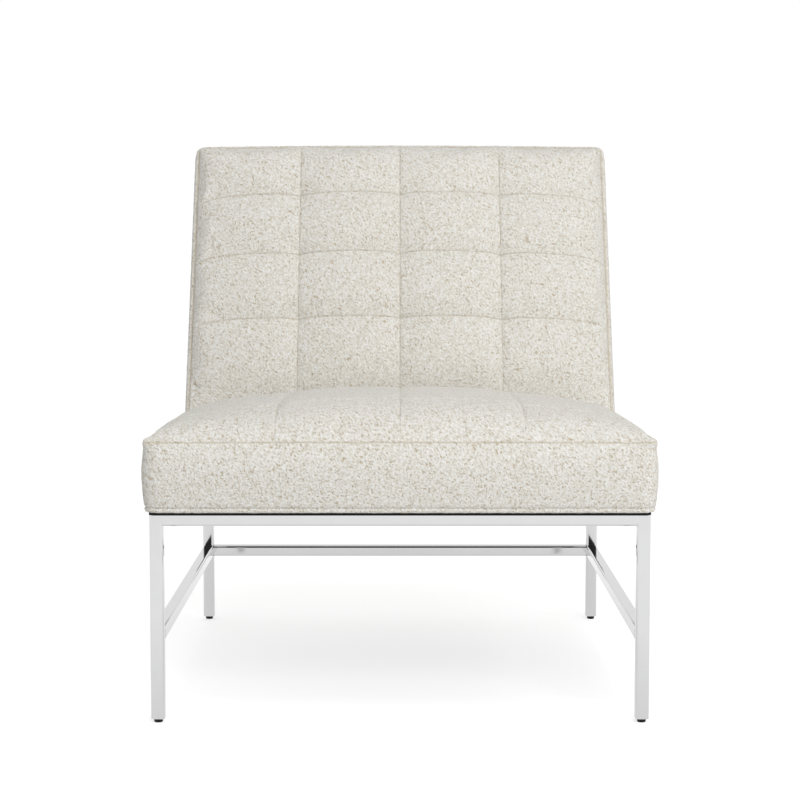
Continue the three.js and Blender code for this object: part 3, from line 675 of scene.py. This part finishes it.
# Seat welt
# A cord wrapped in the same boucle, sewn into the seat's lower edge. It lies on the dust cover and follows
# the rounded corners of the seat.
def welt_path():
    """A round cord along a rectangle with rounded corners."""
    radius = 0.0037
    reach = half_width + radius + 0.0002
    bm = bmesh.new()
    bmesh.ops.create_grid(bm, x_segments=1, y_segments=1, size=1.0)
    for v in bm.verts:
        place_y = leg_front + (seat_length + radius if v.co.y > 0 else -radius)
        v.co = Vector((math.copysign(reach, v.co.x), place_y, 0))
    bmesh.ops.bevel(bm, geom=list(bm.verts), offset=boxing_corner + radius, offset_type="OFFSET", segments=12,
                    profile=0.5, affect="VERTICES", material=-1)
    bmesh.ops.subdivide_edges(bm, edges=[e for e in bm.edges if e.calc_length() > 0.1], cuts=120)
    outline = bm.faces[:][0]
    path = [loop.vert.co.copy() for loop in outline.loops]
    bm.free()
    curve = bpy.data.curves.new("seat_welt_path", "CURVE")
    curve.dimensions = "3D"
    curve.bevel_depth = radius
    curve.bevel_resolution = 5
    line = curve.splines.new("POLY")
    line.points.add(len(path) - 1)
    for point, place in zip(line.points, path):
        point.co = (place.x, place.y, seat_bottom + radius - 0.0010, 1)
    line.use_cyclic_u = True
    return curve


welt_curve = bpy.data.objects.new("seat_welt_curve", welt_path())
bpy.context.scene.collection.objects.link(welt_curve)
graph = bpy.context.evaluated_depsgraph_get()
welt_data = bpy.data.meshes.new_from_object(welt_curve.evaluated_get(graph))
bpy.data.objects.remove(welt_curve)
for v in welt_data.vertices:
    v.co += v.normal * 0.0005 * noise.noise(v.co * 190)
for polygon in welt_data.polygons:
    polygon.use_smooth = True
welt_data.materials.clear()
welt_data.materials.append(boucle_cloth)
seat_piping = bpy.data.objects.new("seat_piping", welt_data)
bpy.context.scene.collection.objects.link(seat_piping)
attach(seat_piping, "root")
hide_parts("seat_welt")


# Back cushion
# The same make as the seat, laid back against raked posts. Four columns and four rows of pillows are sewn
# through at their crossings, which pulls each crossing deep into the foam.
back_half = 0.3427
back_sunk = 0.0125
back_length = 0.4748 + back_sunk
back_foot = seat_seam - 0.0110
back_columns = (-0.167, 0.0, 0.167)
back_rows = (0.149 + back_sunk, 0.266 + back_sunk, 0.375 + back_sunk)


def back_height(x, y):
    """Crown of the back in front of its edge seam, with deep pillows."""
    across = 1 - abs(x / back_half) ** 2.2
    crown = 0.027 * across * swell(y, 0.100) * swell(back_length - y, 0.120)
    edge = min(back_half - abs(x), back_length - y)
    roll = 0.013 * climb(edge, 0.019) * clamp(y / 0.15)
    stops_x = [-back_half, *back_columns, back_half]
    stops_y = [0.0, *back_rows, back_length]
    puffed = 0.008 * (pillow(x, stops_x) * pillow(y, stops_y)) ** 0.7
    to_column = min(abs(x - seam) for seam in back_columns)
    to_row = min(abs(y - seam) for seam in back_rows)
    pull = 0.015 * math.exp(-math.hypot(to_column, to_row) / 0.022)
    return crown + roll + puffed * clamp(edge / 0.02) - pull


back_corner = 0.009
back = Cushion(back_half, back_length, back_columns, back_rows, back_height, back_corner,
               bow=0.003, droop=0.0195)
back_boxing = slab - 0.004
back_rings = boxing_rings(back_boxing, ridge=0.0052, most=0.0098, corner=back_corner,
                          lower_corner=back_corner, ear=False)
panel_bulge = 0.0032
panel_bed = slab - 0.0034
rear_bulge = back_rings[-1][1]
back_rings += [
    (slab - 0.0015, rear_bulge - 0.0002, back_corner, 0.0),
    (slab, rear_bulge - 0.0012, back_corner, 0.0),
    (slab, panel_bulge + 0.0006, back_corner, 0.0),
    (slab - 0.001, panel_bulge, back_corner, 0.0),
    (panel_bed, panel_bulge, back_corner, 0.0),
    (panel_bed, -0.02, back_corner, 0.0),
]
back_mesh = back.build(back_rings)
back_way = Vector((0, math.sin(recline), math.cos(recline)))
back_start = Vector((0, leg_front + seat_depth, seat_seam)) - back_sunk * back_way
back_matrix = Matrix.Translation(back_start) @ Matrix.Rotation(math.pi / 2 - recline, 4, "X")


def back_held(x, y, drop):
    """Where the back's cover can't move: at its edges, along its seams, at the foot and behind."""
    if y < 0.04 or drop > 0.001 or min(back_half - abs(x), back_length - y) < 0.001:
        return 1.0
    to_column = min(abs(x - seam) for seam in back_columns)
    to_row = min(abs(y - seam) for seam in back_rows)
    return 0.9 if min(to_column, to_row) < 0.001 else 0.0


back_cushion = finish_cushion(back_mesh, "back_cushion", back_matrix, back, column_share=0.6,
                              row_share=0.7, groove=0.001, held=back_held, foot=back_foot)
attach(back_cushion, "root")
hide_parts("back_cover", "back_foam")


# Outside back
# One flat piece of boucle, drawn tight over the rear of the back frame and slip-stitched along its edge.
def outside_back_mesh():
    reach = back_half + panel_bulge - 0.0004
    top = back_length + panel_bulge - 0.0004
    bm = bmesh.new()
    bmesh.ops.create_grid(bm, x_segments=1, y_segments=1, size=1.0)
    for v in bm.verts:
        v.co = Vector((math.copysign(reach, v.co.x), top if v.co.y > 0 else -0.02, 0))
    upper = [v for v in bm.verts if v.co.y > 0]
    bmesh.ops.bevel(bm, geom=upper, offset=back_corner + panel_bulge, segments=10, profile=0.5,
                    affect="VERTICES", material=-1)
    solid = bmesh.ops.extrude_face_region(bm, geom=list(bm.faces))["geom"]
    thickness = 0.0022
    for v in (g for g in solid if isinstance(g, bmesh.types.BMVert)):
        v.co.z = thickness
    bmesh.ops.translate(bm, verts=bm.verts, vec=(0, 0, 0.0004 - slab))
    middle = 0.0012 - slab
    step = 0.008
    for normal, end in ((Vector((1, 0, 0)), reach), (Vector((0, 1, 0)), top)):
        count = int(2 * end / step)
        for i in range(1, count):
            place = normal * (-end + 2 * end * i / count)
            everything = [*bm.verts, *bm.edges, *bm.faces]
            bmesh.ops.bisect_plane(bm, geom=everything, plane_co=place, plane_no=normal)
    for v in bm.verts:
        from_edge = min(reach - abs(v.co.x), top - v.co.y)
        v.co.z -= 0.0016 * climb(max(from_edge, 0), 0.02) if v.co.z < middle else 0
        v.co.z += 0.0004 * noise.noise(v.co * 60)
    bm.transform(back_matrix)
    close_flat(bm, back_foot)
    return bm


outside_back = add_mesh("outside_back", outside_back_mesh(), boucle_cloth, smooth=True)
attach(outside_back, "root")
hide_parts("back_rear_panel")


# Studio
# White floor and background, one large soft lamp at the front right, and weaker ones overhead and at the
# right. What only the polished steel mirrors is toned down: the floor near the chair is dimmer, a painted
# shadow of the chair seen only in the steel, the floor is a little dimmer towards the camera, and the room
# behind the camera is dark.
def studio_floor():
    material, shader, place = new_material("studio_floor")
    tree = material.node_tree
    path = tree.nodes.new("ShaderNodeLightPath")
    mirrored = Shade(path.outputs["Is Glossy Ray"])
    seen = Shade(path.outputs["Is Camera Ray"]) + mirrored
    fill_shader(shader, {
        "Base Color": (0.8, 0.8, 0.8, 1),
        "Roughness": 1.0,
        "Specular IOR Level": 0.0,
    })
    reach = place.vector_math("LENGTH", {0: place}, "Value")
    ahead = 0 - place.axis(1)
    # Painted shadow in the steel's reflections: the floor is darker near the chair and towards the camera.
    painted_shade_in_reflections = 0.15 * (1 - reach.ramp(0.3, 1.3)) + 0.05 * ahead.ramp(1.6, 3.0)
    strength = 0.60 + 0.36 * mirrored - mirrored * painted_shade_in_reflections
    glow = place.make("ShaderNodeEmission", None, {"Color": (1, 1, 1, 1), "Strength": strength})
    tone = mirrored.mix((0.79, 0.79, 0.79, 1), (0.14, 0.14, 0.14, 1))
    pale = place.make("ShaderNodeBsdfDiffuse", None, {"Color": tone})
    white = place.make("ShaderNodeAddShader", None, {0: glow, 1: pale})
    both = place.make("ShaderNodeMixShader", None, {0: seen, 1: Shade(shader.outputs[0]), 2: white})
    tree.links.new(both.socket, tree.nodes["Material Output"].inputs["Surface"])
    return material


floor_mesh = bmesh.new()
bmesh.ops.create_grid(floor_mesh, x_segments=1, y_segments=1, size=8.0)
floor = add_mesh("floor", floor_mesh, studio_floor())

world = bpy.data.worlds.new("studio")
world.use_nodes = True
bpy.context.scene.world = world
background = world.node_tree.nodes["Background"]
world_path = world.node_tree.nodes.new("ShaderNodeLightPath")
seen = Shade(world_path.outputs["Is Camera Ray"])
mirrored = Shade(world_path.outputs["Is Glossy Ray"])
direction = Shade(world.node_tree.nodes.new("ShaderNodeTexCoord").outputs["Generated"])
dark_room = mirrored * (0 - direction.axis(1)).ramp(0.05, 0.25) * direction.axis(2).ramp(0.0, 0.03)
strength = 0.50 + 0.52 * seen + 0.40 * mirrored - 0.87 * dark_room
fill_shader(background, {"Color": (1, 1, 1, 1), "Strength": strength})


def soft_lamp(name, place, aim, size, power):
    lamp = bpy.data.lights.new(name, "AREA")
    lamp.shape = "DISK"
    lamp.size = size
    lamp.energy = power
    holder = bpy.data.objects.new(name, lamp)
    holder.location = place
    holder.rotation_euler = (Vector(aim) - Vector(place)).to_track_quat("-Z", "Y").to_euler()
    holder.visible_glossy = False
    bpy.context.scene.collection.objects.link(holder)


soft_lamp("key_lamp", place=(1.2, -3.7, 2.3), aim=(0, 0, 0.4), size=2.4, power=70)
soft_lamp("side_lamp", place=(2.6, -1.2, 1.0), aim=(0, 0, 0.5), size=1.2, power=9.5)
soft_lamp("top_lamp", place=(0.1, -1.1, 3.2), aim=(0, -0.1, 0.4), size=2.0, power=16)

bpy.context.scene.view_settings.view_transform = "Standard"
